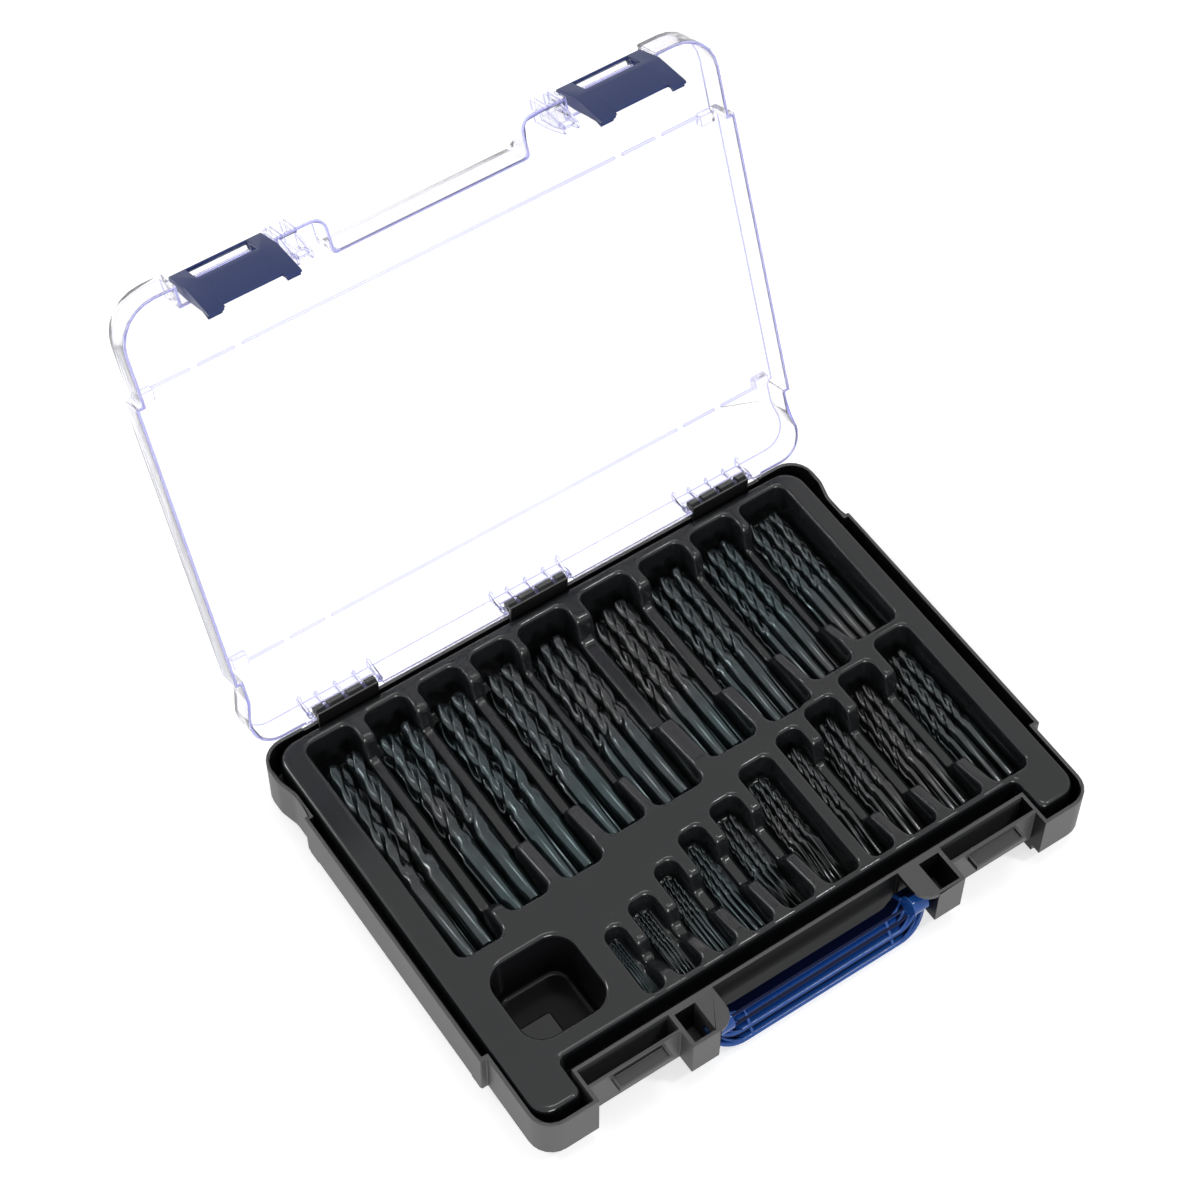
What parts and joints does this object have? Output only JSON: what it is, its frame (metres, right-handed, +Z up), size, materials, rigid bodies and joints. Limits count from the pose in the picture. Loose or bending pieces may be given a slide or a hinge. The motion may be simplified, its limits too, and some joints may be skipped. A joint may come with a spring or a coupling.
{
  "type": "drill bit case",
  "caption": "Shallow hinged case with a clear lid, two snap latches and a folding handle; a moulded tray sorts twist drills by size.",
  "frame": {"origin": "middle of the flat face the case rests on, on the case's left-right symmetry plane", "axes": "+X to the right as seen from the front, +Y towards the hinges, +Z up"},
  "size_m": [0.338, 0.362, 0.293],
  "materials": {
    "base_black": "satin moulded plastic",
    "insert_black": "vacuum-formed sheet, soft gloss",
    "lid_clear": "clear moulded plastic",
    "latch_navy": "glossy moulded plastic",
    "handle_blue": "glossy moulded plastic",
    "bit_black_oxide": "black oxide on high speed steel"
  },
  "bodies": {
    "case": {"base": "base_black", "insert_tray": "insert_black", "bits_01_0mm": "bit_black_oxide", "bits_01_5mm": "bit_black_oxide", "bits_02_0mm": "bit_black_oxide", "bits_02_5mm": "bit_black_oxide", "bits_03_0mm": "bit_black_oxide", "bits_03_5mm": "bit_black_oxide", "bits_04_0mm": "bit_black_oxide", "bits_04_5mm": "bit_black_oxide", "bits_05_0mm": "bit_black_oxide", "bits_05_5mm": "bit_black_oxide", "bits_06_0mm": "bit_black_oxide", "bits_06_5mm": "bit_black_oxide", "bits_07_0mm": "bit_black_oxide", "bits_07_5mm": "bit_black_oxide", "bits_08_0mm": "bit_black_oxide", "bits_08_5mm": "bit_black_oxide", "bits_09_0mm": "bit_black_oxide", "bits_09_5mm": "bit_black_oxide", "bits_10_0mm": "bit_black_oxide"},
    "lid": {"lid": "lid_clear"},
    "latch_left": {"latch_left": "latch_navy"},
    "latch_right": {"latch_right": "latch_navy"},
    "handle": {"handle": "handle_blue"}
  },
  "joints": [
    {"name": "lid_hinge", "type": "hinge", "parent": "case", "child": "lid", "pos_m": [0, 0.1285, 0.045], "axis": [1, 0, 0], "range_deg": [0, 111.5]},
    {"name": "latch_left_pivot", "type": "hinge", "parent": "lid", "child": "latch_left", "pos_m": [-0.1062, 0.22614, 0.27814], "axis": [-1, 0, 0], "range_deg": [-2.5, 100]},
    {"name": "latch_right_pivot", "type": "hinge", "parent": "lid", "child": "latch_right", "pos_m": [0.1062, 0.22614, 0.27814], "axis": [-1, 0, 0], "range_deg": [-2.5, 100]},
    {"name": "handle_pivot", "type": "hinge", "parent": "case", "child": "handle", "pos_m": [0, -0.12, 0.027], "axis": [-1, 0, 0], "range_deg": [0, 90]}
  ]
}
